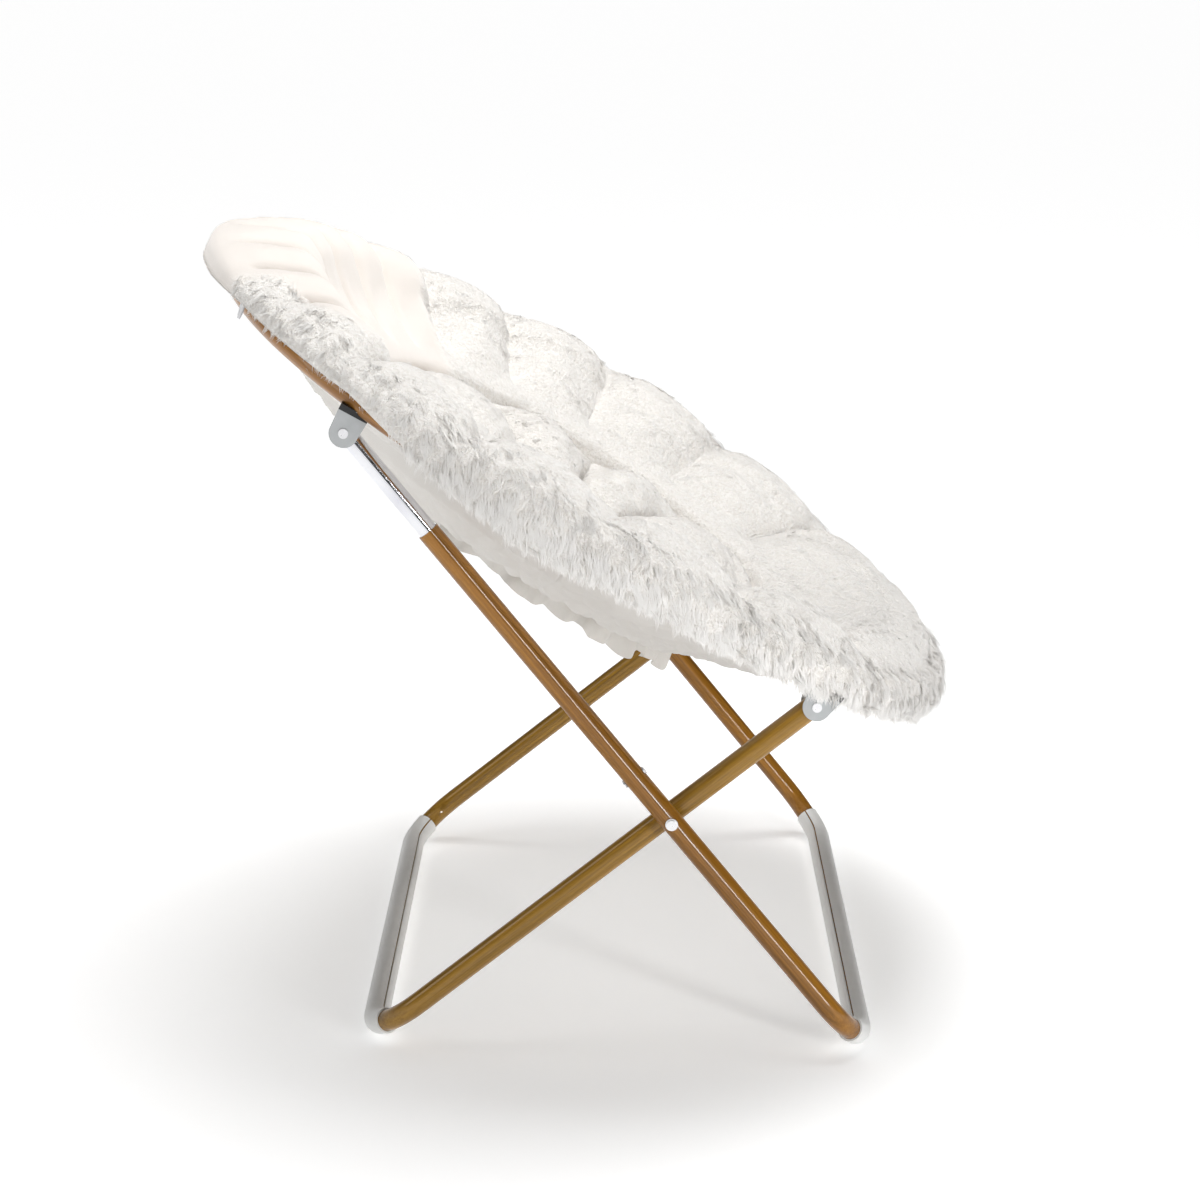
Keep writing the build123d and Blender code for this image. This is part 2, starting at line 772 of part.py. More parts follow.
def save_metalwork():
    """Write the legs, the ring, the brackets and what joins them."""
    sides = SIDES.values()
    halves = ("back", "front")
    save("outer_leg_frame", outer_leg_frame())
    save("inner_leg_frame", inner_leg_frame())
    save("front_floor_sleeve",
         floor_sleeve(outer_foot, outer_leg_angle, outer_leg_offset, -sleeve_slit_lean))
    save("rear_floor_sleeve",
         floor_sleeve(inner_foot, inner_leg_angle, inner_leg_offset, sleeve_slit_lean))
    for name, side in SIDES.items():
        save(f"leg_extension_{name}", leg_extension(side))
        save(f"extension_guide_{name}", extension_guide(side))
        save(f"extension_cap_{name}", end_cap(
            cross_pivot, outer_leg_angle, side * outer_leg_offset,
            back_pivot_distance + tube_end_past_pivot, extension_radius, extension_wall,
        ))
        save(f"inner_leg_cap_{name}", end_cap(
            inner_foot, inner_leg_angle, side * inner_leg_offset,
            inner_leg_reach + tube_end_past_pivot, tube_radius, tube_wall,
        ))
        save(f"ring_connector_{name}", ring_connector(side))
        for half in halves:
            save(f"{half}_bracket_{name}", bracket(half, side))
            save(f"{half}_saddle_{name}", saddle(half, side))
    for half in halves:
        save(f"ring_{half}_half", ring_half(half))
    joint_places = [place for half in halves for place in joint_rivet_places(half)]
    save("ring_joint_rivets", *[joint_rivet(place) for place in joint_places])
    screws = [place for half in halves for side in sides for place in screw_places(half, side)]
    save("bracket_screws", *[bracket_screw(place) for place in screws])
    save("cross_pivot_rivets", *[cross_rivet(side) for side in sides])
    save("cross_pivot_washers", *[cross_washer(side) for side in sides])
    save("cross_spacers", *[cross_spacer(side) for side in sides])
    save("stop_rivets", *[stop_rivet(side) for side in sides])
    save("front_pivot_rivets", *[front_pivot_rivet(side) for side in sides])
    save("back_pivot_rivets", *[back_pivot_rivet(side, face) for side in sides for face in (1, -1)])


def save_seat():
    """Write the padded seat."""
    save("rim_roll", rim_roll())
    save("seat_cushion", seat_cushion())
    save("seat_lining", seat_lining())
    save("gathered_hem", soft_ring(hem_outline))
    save("fabric_label", fabric_label())


os.makedirs("parts", exist_ok=True)
save_metalwork()
save_seat()
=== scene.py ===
import bpy
import math
import numpy as np
from mathutils import Matrix, Vector


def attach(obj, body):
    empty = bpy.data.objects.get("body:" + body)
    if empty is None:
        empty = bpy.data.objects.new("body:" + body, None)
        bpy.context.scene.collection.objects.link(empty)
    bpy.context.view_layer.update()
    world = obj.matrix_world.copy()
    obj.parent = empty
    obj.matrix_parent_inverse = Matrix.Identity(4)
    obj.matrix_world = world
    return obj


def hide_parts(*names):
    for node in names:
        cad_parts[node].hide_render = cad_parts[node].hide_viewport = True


# Folding saucer chair, dressed in the order in which it is put together. Metres, +Z up, +X to the
# front of the chair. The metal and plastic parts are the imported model's own and get their finishes
# here. The seat's fabric and fur are made here and ride on the seat's body.
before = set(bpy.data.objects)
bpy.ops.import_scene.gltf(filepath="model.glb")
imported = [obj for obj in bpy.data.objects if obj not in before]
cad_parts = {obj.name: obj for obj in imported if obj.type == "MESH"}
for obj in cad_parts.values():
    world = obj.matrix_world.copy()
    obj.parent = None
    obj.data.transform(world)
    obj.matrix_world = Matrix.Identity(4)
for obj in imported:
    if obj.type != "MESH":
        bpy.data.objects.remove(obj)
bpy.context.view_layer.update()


# Studio ----------------------------------------------------------------------------------------
# A wide pale floor, seen from the chair's right side. A broad light hangs over the chair, and a
# narrow one at the front right gives the glossy tubes their bright line. The sky is dark overhead
# and in front of the chair, which draws a black edge on bright metal.

def area_light(name, place, aim, width, height, power, along=(0, 0, 1)):
    """A soft light that faces its aim, with its height turned to run along a direction."""
    light = bpy.data.lights.new(name, "AREA")
    light.shape = "RECTANGLE"
    light.size = width
    light.size_y = height
    light.energy = power
    lamp = bpy.data.objects.new(name, light)
    lamp.location = place
    back = (Vector(place) - Vector(aim)).normalized()
    up = (Vector(along) - back * back.dot(Vector(along))).normalized()
    lamp.rotation_euler = Matrix((up.cross(back), up, back)).transposed().to_euler()
    bpy.context.scene.collection.objects.link(lamp)


class Tone:
    """A value inside a finish. A sum written with it adds Math nodes."""

    def __init__(self, finish, socket):
        self.finish = finish
        self.socket = socket

    def _sum(self, operation, first, second):
        return self.finish.node("ShaderNodeMath", {"operation": operation}, {0: first, 1: second})

    def __add__(self, other):
        return self._sum("ADD", self, other)

    def __sub__(self, other):
        return self._sum("SUBTRACT", self, other)

    def __rsub__(self, other):
        return self._sum("SUBTRACT", other, self)

    def __mul__(self, other):
        return self._sum("MULTIPLY", self, other)

    def __pow__(self, other):
        return self._sum("POWER", self, other)

    __radd__ = __add__
    __rmul__ = __mul__


class Finish:
    """A procedural material, built round one Principled shader."""

    def __init__(self, name, **values):
        self.material = bpy.data.materials.new(name)
        self.material.use_nodes = True
        self.tree = self.material.node_tree
        self.shader = self.tree.nodes["Principled BSDF"]
        for socket, value in values.items():
            self.shader.inputs[socket.replace("_", " ")].default_value = value

    def node(self, kind, settings, sockets, out=0):
        """Adds a node of a kind: its settings come first, then the values or links of its sockets."""
        node = self.tree.nodes.new(kind)
        for name, value in settings.items():
            setattr(node, name, value)
        for name, value in sockets.items():
            if isinstance(value, Tone):
                self.tree.links.new(value.socket, node.inputs[name])
            else:
                node.inputs[name].default_value = value
        return Tone(self, node.outputs[out])

    def place(self):
        """Where a point lies on its piece."""
        return self.node("ShaderNodeTexCoord", {}, {}, "Object")

    def split(self, vector):
        """The three parts of a vector."""
        whole = self.node("ShaderNodeSeparateXYZ", {}, {0: vector})
        return [Tone(self, out) for out in whole.socket.node.outputs]

    def joined(self, x, y, z):
        """A vector from its three parts."""
        return self.node("ShaderNodeCombineXYZ", {}, {0: x, 1: y, 2: z})

    def noise(self, vector, scale, detail=3.0, roughness=0.5):
        return self.node("ShaderNodeTexNoise", {}, {
            "Vector": vector, "Scale": scale, "Detail": detail, "Roughness": roughness}, "Fac")

    def step(self, tone, low, high):
        """0 below low and 1 above high, with a straight run between."""
        return self.node("ShaderNodeMapRange", {"clamp": True}, {0: tone, 1: low, 2: high})

    def dye(self, mask, under, over):
        """One colour over another, where the mask is 1."""
        return self.node("ShaderNodeMix", {"data_type": "RGBA"}, {0: mask, 6: under, 7: over}, 2)

    def dent(self, height, depth):
        """Relief from a height of 0 to 1 and a depth in metres."""
        relief = self.node("ShaderNodeBump", {}, {
            "Strength": 1.0, "Distance": depth, "Height": height})
        self.wire("Normal", relief)

    def wire(self, socket, tone):
        """Links a value to a socket of the shader."""
        self.tree.links.new(tone.socket, self.shader.inputs[socket])


def paint(value):
    """A colour as it is picked from a screen, 0 to 255, made linear for the shader."""
    linear = [((v / 255 + 0.055) / 1.055) ** 2.4 if v > 10 else v / 255 / 12.92 for v in value]
    return (*linear, 1.0)


scene = bpy.context.scene
scene.view_settings.view_transform = "Standard"

floor_half, floor_height = 40.0, -0.0002
floor_mesh = bpy.data.meshes.new("floor")
floor_mesh.from_pydata(
    [(floor_half * along, floor_half * across, floor_height)
     for along, across in ((-1, -1), (1, -1), (1, 1), (-1, 1))], [], [(0, 1, 2, 3)])
floor = bpy.data.objects.new("floor", floor_mesh)
scene.collection.objects.link(floor)
floor_paint = Finish("pale_floor", Roughness=0.9, Specular_IOR_Level=0.1, Emission_Strength=0.93)
floor_mottle = floor_paint.noise(floor_paint.place(), 3.0, 4.0)
floor_tint = floor_paint.dye(floor_mottle, paint((246, 246, 246)), paint((250, 250, 250)))
floor_paint.wire("Base Color", floor_tint)
# Painted light: the floor glows, though it is no lamp. It is dim grey near the chair and white further
# off, so the far floor shows as a white backdrop and lights the chair from below.
floor_x, floor_y, _ = floor_paint.split(floor_paint.place())
floor_far = floor_paint.step((floor_x * floor_x + floor_y * floor_y) ** 0.5, 0.8, 3.5)
floor_glow = floor_paint.dye(floor_far, paint((174, 174, 174)), paint((255, 255, 255)))
floor_paint.wire("Emission Color", floor_glow)
floor_mesh.materials.append(floor_paint.material)

world = bpy.data.worlds.new("studio")
scene.world = world
world.use_nodes = True
sky_nodes, sky_links = world.node_tree.nodes, world.node_tree.links


def sky_run(source, start, end, first=0.0, last=1.0):
    """A value that goes straight from first to last while the source goes from start to end."""
    run = sky_nodes.new("ShaderNodeMapRange")
    for socket, value in enumerate((start, end, first, last), start=1):
        run.inputs[socket].default_value = value
    sky_links.new(source, run.inputs[0])
    return run.outputs[0]


def sky_product(first, second):
    """Two values of the sky multiplied."""
    product = sky_nodes.new("ShaderNodeMath")
    product.operation = "MULTIPLY"
    sky_links.new(first, product.inputs[0])
    sky_links.new(second, product.inputs[1])
    return product.outputs[0]


view = sky_nodes.new("ShaderNodeTexCoord")
direction = sky_nodes.new("ShaderNodeSeparateXYZ")
sky_links.new(view.outputs["Generated"], direction.inputs[0])
to_front, upward = direction.outputs["X"], direction.outputs["Z"]
front_flag = sky_product(sky_run(to_front, 0.12, 0.22), sky_run(upward, 0.02, 0.06))
unflagged = sky_run(front_flag, 0.0, 1.0, 1.0, 0.03)
near_horizon = sky_run(upward, 0.16, 0.36, 1.0, 0.05)
sky = sky_nodes["Background"]
sky_links.new(sky_product(near_horizon, unflagged), sky.inputs["Color"])
sky.inputs["Strength"].default_value = 0.75

area_light("broad_light", place=(0.1, 0.3, 2.8), aim=(0.05, 0.0, 0.45),
           width=1.5, height=1.5, power=65)
area_light("line_light", place=(1.69, -2.50, 0.755), aim=(0.05, -0.35, 0.3),
           width=0.28, height=1.35, power=32, along=(-0.627, 0, 0.779))
area_light("left_light", place=(-2.6, -0.6, 1.8), aim=(0.0, 0.0, 0.4),
           width=1.0, height=1.4, power=9)

camera_tilt, camera_turn = 0.2510, 0.0062
camera_data = bpy.data.cameras.new("camera")
camera_data.lens = 84.15
camera_data.sensor_width = 36.0
camera = bpy.data.objects.new("camera", camera_data)
camera.location = (0.0409, -2.9595, 1.1453)
camera.rotation_euler = (math.pi / 2 - camera_tilt, 0.0, camera_turn)
scene.collection.objects.link(camera)
scene.camera = camera


# Leg frames ------------------------------------------------------------------------------------
# Two U-shaped frames of 22 mm steel tube, bent cold and wrapped in a glossy wood-grain film. The
# grain runs along the tube, so the film has one set of streaks for the legs and one for the rail.

def finish_node(name, finish):
    """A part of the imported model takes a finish."""
    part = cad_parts[name]
    part.data.materials.clear()
    part.data.materials.append(finish.material)


def grain(finish, along, side_a, side_b):
    """Wood streaks that run along a tube: broad bands, fine grain and short pores, 0 to 1."""

    def streaks(per_metre_along, per_metre_across, detail, roughness=0.5):
        stretched = finish.joined(
            along * per_metre_along, side_a * per_metre_across, side_b * per_metre_across)
        return finish.noise(stretched, 1.0, detail, roughness)

    band = streaks(1.6, 70.0, 2.0)
    fibre = streaks(7.0, 420.0, 3.0, 0.6)
    pore = streaks(60.0, 1500.0, 2.0)
    return band * 0.45 + fibre * 0.4 + pore * 0.15


def wood_film(name, light_brown, dark_brown):
    """Glossy film in its two browns, before its grain is printed."""
    film = Finish(name, Roughness=0.4, Specular_IOR_Level=0.15,
                  Coat_Weight=0.6, Coat_Roughness=0.06, Coat_IOR=1.5)
    film.light_brown = paint(light_brown)
    film.dark_brown = paint(dark_brown)
    return film


def print_grain(film, streaks):
    """Prints streaks of 0 to 1 on a film, with a few paler worn spots."""
    worn = film.step(film.noise(film.place(), 35.0, 5.0, 0.7), 0.62, 0.75)
    deep = film.step(streaks, 0.36, 0.62)
    colour = film.dye(deep, film.dark_brown, film.light_brown)
    film.wire("Base Color", film.dye(worn * 0.15, colour, paint((188, 144, 76))))
    film.wire("Roughness", 0.3 + worn * 0.12)
    film.dent(streaks, 0.00006)


def leg_film(name, foot, angle, light_brown, dark_brown):
    """Film of a U-shaped frame, whose legs lean at an angle and whose rail runs across at the foot."""
    film = wood_film(name, light_brown, dark_brown)
    x, y, z = film.split(film.place())
    lean_x, lean_z = math.cos(math.radians(angle)), math.sin(math.radians(angle))
    bend_start, bend_end = 0.018, 0.055
    along = (x - foot[0]) * lean_x + (z - foot[1]) * lean_z
    beside = (z - foot[1]) * lean_x - (x - foot[0]) * lean_z
    on_leg = grain(film, along, beside, y)
    on_rail = grain(film, y, beside, along)
    up_leg = film.step(along, bend_start, bend_end)
    print_grain(film, on_rail + (on_leg - on_rail) * up_leg)
    return film


outer_foot, outer_angle = (0.2877, 0.0126), 128.8
inner_foot, inner_angle = (-0.2059, 0.0126), 38.6
finish_node("outer_leg_frame", leg_film(
    "outer_wood_film", outer_foot, outer_angle, (166, 114, 40), (106, 68, 18)))
finish_node("inner_leg_frame", leg_film(
    "inner_wood_film", inner_foot, inner_angle, (170, 128, 50), (114, 84, 26)))


# Floor sleeves ---------------------------------------------------------------------------------
# White plastic tubes, slit along one side and snapped over the two floor rails and their corners.
# Moulded, with a faint satin skin, and a little grey where they stand on the floor.

sleeve_plastic = Finish("sleeve_plastic", Roughness=0.42)
_, _, sleeve_height = sleeve_plastic.split(sleeve_plastic.place())
sleeve_cloud = sleeve_plastic.noise(sleeve_plastic.place(), 45.0, 4.0)
sleeve_foot = 1.0 - sleeve_plastic.step(sleeve_height, 0.0, 0.006)
scuffed = sleeve_foot * sleeve_plastic.step(sleeve_cloud, 0.4, 0.7)
sleeve_white = sleeve_plastic.dye(sleeve_cloud, paint((226, 226, 224)), paint((238, 238, 236)))
sleeve_plastic.wire("Base Color", sleeve_plastic.dye(scuffed, sleeve_white, paint((168, 166, 162))))
sleeve_plastic.wire("Roughness", 0.36 + sleeve_cloud * 0.15)
sleeve_plastic.dent(sleeve_plastic.noise(sleeve_plastic.place(), 900.0, 2.0), 0.00004)
finish_node("front_floor_sleeve", sleeve_plastic)
finish_node("rear_floor_sleeve", sleeve_plastic)


# Chrome tubes ----------------------------------------------------------------------------------
# The two plated tubes that slide in the outer legs and carry the back of the seat. They are drawn
# tube, so their faint lines run lengthways, and the plating is a little smudged.

chrome = Finish("chrome_plate", Metallic=1.0, Roughness=0.1)
chrome_x, chrome_y, chrome_z = chrome.split(chrome.place())
outer_lean = math.radians(outer_angle)
along_outer = chrome_x * math.cos(outer_lean) + chrome_z * math.sin(outer_lean)
beside_outer = chrome_z * math.cos(outer_lean) - chrome_x * math.sin(outer_lean)
drawn = chrome.noise(
    chrome.joined(along_outer * 9.0, beside_outer * 1400.0, chrome_y * 1400.0), 1.0, 3.0)
smudge = chrome.step(chrome.noise(chrome.place(), 22.0, 4.0), 0.45, 0.75)
chrome.wire("Base Color", chrome.dye(smudge, paint((228, 229, 232)), paint((214, 214, 220))))
chrome.wire("Roughness", 0.07 + drawn * 0.06 + smudge * 0.08)
chrome.dent(drawn, 0.00002)
finish_node("leg_extension_left", chrome)
finish_node("leg_extension_right", chrome)


# Plugs and guides ------------------------------------------------------------------------------
# Small injection-moulded parts, pressed in by hand: a nylon guide at the lower end of each chrome
# tube, black plugs in the open ends of the tubes, and nylon spacers where the legs cross.

def moulded(name, light, dark, rough):
    """Moulded plastic, faintly clouded and with a fine skin."""
    plastic = Finish(name, Roughness=rough)
    cloud = plastic.noise(plastic.place(), 120.0, 4.0)
    plastic.wire("Base Color", plastic.dye(cloud, paint(dark), paint(light)))
    plastic.wire("Roughness", rough - 0.06 + cloud * 0.14)
    plastic.dent(plastic.noise(plastic.place(), 1400.0, 2.0), 0.00005)
    return plastic


nylon = moulded("guide_nylon", (224, 220, 208), (208, 203, 190), 0.5)
black_plastic = moulded("black_plastic", (34, 34, 35), (20, 20, 21), 0.45)
for part_side in ("left", "right"):
    finish_node(f"extension_guide_{part_side}", nylon)
    finish_node(f"extension_cap_{part_side}", black_plastic)
    finish_node(f"inner_leg_cap_{part_side}", black_plastic)
finish_node("cross_spacers", nylon)


# Rivets, screws and washers --------------------------------------------------------------------
# Turned and headed steel, nickel-plated. The heads are bright, and a little uneven from the tool
# that formed them.

rivet_steel = Finish("bright_rivet", Metallic=1.0, Roughness=0.25)
rivet_cloud = rivet_steel.noise(rivet_steel.place(), 600.0, 3.0)
rivet_tint = rivet_steel.dye(rivet_cloud, paint((214, 214, 216)), paint((236, 236, 238)))
rivet_steel.wire("Base Color", rivet_tint)
rivet_steel.wire("Roughness", 0.2 + rivet_cloud * 0.2)
rivet_steel.dent(rivet_cloud, 0.00004)
for group in ("cross_pivot_rivets", "cross_pivot_washers", "stop_rivets", "front_pivot_rivets",
              "back_pivot_rivets", "bracket_screws", "ring_joint_rivets"):
    finish_node(group, rivet_steel)


# Seat ring -------------------------------------------------------------------------------------
# Two half circles of the same tube, joined at the sides over short connectors, with a slight kink.
# The film's grain follows the circle.

ring_middle = (0.01792, 0.0, 0.54673)
ring_radius = 0.4307
slopes = {"back": math.radians(-28.867), "mean": math.radians(-31.367),
          "front": math.radians(-33.867)}


def ring_film(half):
    """Film of one half of the ring, whose grain follows the bend."""
    film = wood_film(f"{half}_ring_film", (184, 130, 62), (124, 80, 30))
    x, y, z = film.split(film.place())
    slope_x, slope_z = math.cos(slopes[half]), math.sin(slopes[half])
    across = (x - ring_middle[0]) * slope_x + (z - ring_middle[2]) * slope_z
    above = (z - ring_middle[2]) * slope_x - (x - ring_middle[0]) * slope_z
    angle = film.node("ShaderNodeMath", {"operation": "ARCTAN2"}, {0: y, 1: across})
    radius = (across * across + y * y) ** 0.5
    print_grain(film, grain(film, angle * ring_radius, radius, above))
    return film


finish_node("ring_back_half", ring_film("back"))
finish_node("ring_front_half", ring_film("front"))

raw_steel = Finish("plain_steel", Metallic=1.0, Roughness=0.4)
steel_cloud = raw_steel.noise(raw_steel.place(), 90.0, 4.0)
steel_tint = raw_steel.dye(steel_cloud, paint((132, 132, 134)), paint((166, 166, 168)))
raw_steel.wire("Base Color", steel_tint)
raw_steel.wire("Roughness", 0.32 + steel_cloud * 0.2)
raw_steel.dent(steel_cloud, 0.00005)
finish_node("ring_connector_left", raw_steel)
finish_node("ring_connector_right", raw_steel)


# Brackets and saddles --------------------------------------------------------------------------
# Pressed steel brackets with a satin zinc skin, screwed up into the ring, two at the back for the
# chrome tubes and two at the front for the inner legs. A black plastic saddle sits in between.

zinc = Finish("satin_zinc", Metallic=0.75, Roughness=0.42)
zinc_cloud = zinc.noise(zinc.place(), 60.0, 5.0, 0.6)
zinc_grit = zinc.noise(zinc.place(), 1100.0, 2.0)
zinc.wire("Base Color", zinc.dye(zinc_cloud, paint((166, 169, 170)), paint((190, 192, 193))))
zinc.wire("Roughness", 0.36 + zinc_cloud * 0.14)
zinc.dent(zinc_grit * 0.6 + zinc_cloud * 0.4, 0.00006)
for half in ("back", "front"):
    for part_side in ("left", "right"):
        finish_node(f"{half}_bracket_{part_side}", zinc)
        finish_node(f"{half}_saddle_{part_side}", black_plastic)


# Lining ----------------------------------------------------------------------------------------
# A round of thin off-white cloth under the padding, sewn in near the ring and sagging a little
# between its folds. It is seen from below and behind.

def on_seat(turn, radius, height):
    """Points of the seat, for turns in radians from the front, radii and heights above the ring.

    Near the ring the seat follows the ring's own half, and the bowl follows the mean slope.
    """
    turn, radius, height = np.broadcast_arrays(turn, radius, height)
    across = radius * np.cos(turn)
    bowl_reach, ring_inside = 0.240, ring_radius - 0.022

    def set_in(slope):
        return (ring_middle[0] + across * np.cos(slope) - height * np.sin(slope),
                ring_middle[2] + across * np.sin(slope) + height * np.cos(slope))

    own_slope = np.where(across > 0, slopes["front"], slopes["back"])
    bowl_x, bowl_z = set_in(slopes["mean"])
    ring_x, ring_z = set_in(own_slope)
    share = np.clip((radius - bowl_reach) / (ring_inside - bowl_reach), 0, 1)
    x = bowl_x + (ring_x - bowl_x) * share
    z = bowl_z + (ring_z - bowl_z) * share
    return np.stack([x, radius * np.sin(turn), z], axis=-1)


def ripple(seed, turn, other, waves, finest):
    """Gentle seeded unevenness about 0, a sum of waves that close all the way round."""
    rng = np.random.default_rng(seed)
    total = np.zeros(np.broadcast(turn, other).shape)
    for _ in range(waves):
        size = rng.uniform(0, 1) ** 1.5
        round_count = rng.integers(1, max(2, int(finest * (0.15 + size))))
        run_count = rng.uniform(0.2, 1.0) * finest * (0.15 + size)
        phase = rng.uniform(0, 2 * np.pi)
        total += (1 - 0.6 * size) * np.sin(round_count * turn + run_count * other + phase)
    return total / math.sqrt(waves)


def cloth_mesh(name, points, finish, close_rows=False, close_columns=True):
    """A piece from a grid of points. It faces the way of a step of row crossed with one of column."""
    rows, columns = points.shape[:2]
    faces = []
    for row in range(rows if close_rows else rows - 1):
        for column in range(columns if close_columns else columns - 1):
            a, b = row * columns, ((row + 1) % rows) * columns
            after = (column + 1) % columns
            faces.append((a + column, b + column, b + after, a + after))
    mesh = bpy.data.meshes.new(name)
    mesh.from_pydata(points.reshape(-1, 3).tolist(), [], faces)
    mesh.polygons.foreach_set("use_smooth", [True] * len(faces))
    mesh.materials.append(finish.material)
    mesh.update()
    piece = bpy.data.objects.new(name, mesh)
    scene.collection.objects.link(piece)
    return piece


def smooth(value, low, high):
    """0 below low and 1 above high, with an eased run between."""
    share = np.clip((value - low) / (high - low), 0, 1)
    return share * share * (3 - 2 * share)


def under_seat(radius):
    """Height of the seat's underside at a radius."""
    radii = [0.0, 0.100, 0.160, 0.200, 0.240, 0.290, 0.331, 0.371]
    heights = [-0.134, -0.128, -0.116, -0.106, -0.092, -0.072, -0.050, -0.033]
    return np.interp(radius, radii, heights)


lining_cloth = Finish("lining_cloth", Roughness=0.85, Sheen_Weight=0.25)
thread_rate = 5200.0
cloth_x, cloth_y, _ = lining_cloth.split(lining_cloth.place())
warp = lining_cloth.node("ShaderNodeMath", {"operation": "SINE"}, {0: cloth_x * thread_rate})
weft = lining_cloth.node("ShaderNodeMath", {"operation": "SINE"}, {0: cloth_y * thread_rate})
cloth_cloud = lining_cloth.noise(lining_cloth.place(), 14.0, 4.0)
cloth_tint = lining_cloth.dye(cloth_cloud, paint((226, 222, 216)), paint((238, 235, 230)))
lining_cloth.wire("Base Color", cloth_tint)
lining_cloth.dent(warp * weft * 0.3 + lining_cloth.noise(lining_cloth.place(), 60.0, 4.0), 0.0006)

lining_edge = 0.371
lining_turn = np.linspace(0, 2 * np.pi, 721)[:-1]
lining_radius = np.linspace(0.004, lining_edge, 92)
turn_grid, radius_grid = np.meshgrid(lining_turn, lining_radius)
out_share = radius_grid / lining_edge
wander = 0.10 * np.sin(3 * turn_grid + 9 * out_share)
wander += 0.05 * np.sin(7 * turn_grid - 14 * out_share + 1.0)
broad_pleats = np.abs(np.sin(19 * (turn_grid + wander))) ** 0.7
fine_pleats = np.abs(np.sin(31 * (turn_grid - 0.7 * wander) + 0.8))
pleat_swell = np.sin(np.pi * out_share ** 1.5) ** 0.8
sag = 0.0030 * ripple(11, turn_grid, radius_grid * 20, 24, 26)
sag -= 0.0025 + 0.0050 * (broad_pleats + 0.6 * fine_pleats) * pleat_swell
sag = np.minimum(sag, 0) * (1 - smooth(out_share, 0.90, 0.99))
tuck = 0.004 * smooth(out_share, 0.95, 1.0)
lining_height = under_seat(radius_grid) - 0.0003 + sag + tuck
lining_points = on_seat(turn_grid, radius_grid, lining_height)
lining = cloth_mesh("lining", lining_points[::-1], lining_cloth)
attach(lining, "seat")
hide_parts("seat_lining")


# Gathered hem ----------------------------------------------------------------------------------
# The spare cloth of the cover, gathered under the bowl and hanging in pointed flaps. It is the
# same cloth as the lining, with its cut edge left raw.

hem_seam = 0.1795
hem_turn = np.linspace(0, 2 * np.pi, 721)[:-1]
hem_run = np.linspace(0, 1, 14)
turn_grid, run_grid = np.meshgrid(hem_turn, hem_run)
fold = np.sin(14 * turn_grid) * 0.007 + np.sin(37 * turn_grid + 1.3) * 0.004
fold += np.sin(61 * turn_grid) * 0.0015
front_share = (1 + np.cos(turn_grid)) / 2
peaks = 0.010 * np.abs(np.sin(5.5 * turn_grid + 0.7)) + 0.006 * np.abs(np.sin(13 * turn_grid + 0.2))
flap = 0.006 + 0.25 * peaks + front_share ** 1.6 * (0.012 + peaks)
hem_radius = hem_seam + fold * run_grid ** 0.7
hem_height = under_seat(hem_seam) - 0.0042 - flap * run_grid
hem = cloth_mesh("gathered_hem_cloth", on_seat(turn_grid, hem_radius, hem_height), lining_cloth)
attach(hem, "seat")
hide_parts("gathered_hem")


# Padded rim ------------------------------------------------------------------------------------
# A thick stuffed roll of cream plush that wraps over the ring, seamed across into segments that
# puff up between the seams. Behind the head the plush is shaved short and drawn into long folds.

def on_segments(turn, seams):
    """For turns in degrees, the share of its segment passed and the degrees to the nearest seam."""
    seams = np.sort(np.asarray(seams, float))
    wrapped = np.concatenate([seams - 360, seams, seams + 360])
    after = np.searchsorted(wrapped, turn)
    low, high = wrapped[after - 1], wrapped[after]
    return (turn - low) / (high - low), np.minimum(turn - low, high - turn)


rim_seams = [-168, -157, -146, -131, -111, -90, -67, -42, 42, 67, 90, 111, 131, 146, 157, 168, 180]
lip_turns = np.radians([0, 60, 78, 86, 92, 97, 103, 110, 118, 126, 150, 162, 180])
lip_drops = [0.010, 0.009, 0.011, 0.015, 0.022, 0.024, 0.015, 0.009, 0.004, -0.007, -0.008, -0.002, 0.0]


def rim_section(turn):
    """Corners of the rim's section for turns in radians: radii and heights."""
    front_share = (1 + np.cos(turn)) / 2
    swell = (1 - front_share) ** 6
    crest = 0.033 + 0.022 * swell
    outer = ring_radius + 0.016 + 0.022 * swell
    lip = np.interp(np.abs(turn), lip_turns, lip_drops)
    tube = 0.0125
    corners = [
        (outer - 0.0015, -lip),
        (outer, np.maximum(0.15 * crest, 0.004 - lip)),
        (outer - 0.004, 0.5 * crest),
        (ring_radius - 0.002, 0.84 * crest),
        (ring_radius - 0.022, 0.98 * crest),
        (0.385, 1.04 * crest),
        (0.362, 0.86 * crest),
        (0.340, 0.50 * crest),
        (0.310, 0.04 * crest),
        (0.275, -0.0176),
        (0.246, -0.031),
        (0.241, -0.046),
        (0.242, under_seat(0.242) + 0.004),
        (0.290, under_seat(0.290) + 0.001),
        (0.331, under_seat(0.331) + 0.001),
        (0.371, under_seat(0.371) + 0.001),
        (ring_radius - 1.35 * tube, -0.5 * tube),
        (ring_radius - 1.15 * tube, 0.6 * tube),
        (ring_radius - 0.45 * tube, 1.15 * tube),
        (ring_radius + 0.45 * tube, 1.15 * tube),
        (ring_radius + 1.12 * tube, 0.6 * tube),
        (outer - 0.0025, -0.8 * lip),
    ]
    return np.array([np.broadcast_arrays(radius, height, turn)[:2] for radius, height in corners])


def rounded(corners, steps):
    """Smooth closed curve through corners, which may be arrays, with a number of steps to each."""
    count = len(corners)
    share = np.arange(steps) / steps
    runs = []
    for index in range(count):
        before, start, end, after = (corners[(index + shift) % count] for shift in (-1, 0, 1, 2))
        for t in share:
            runs.append(0.5 * (2 * start + (end - before) * t
                               + (2 * before - 5 * start + 4 * end - after) * t ** 2
                               + (3 * start - before - 3 * end + after) * t ** 3))
    return np.array(runs)


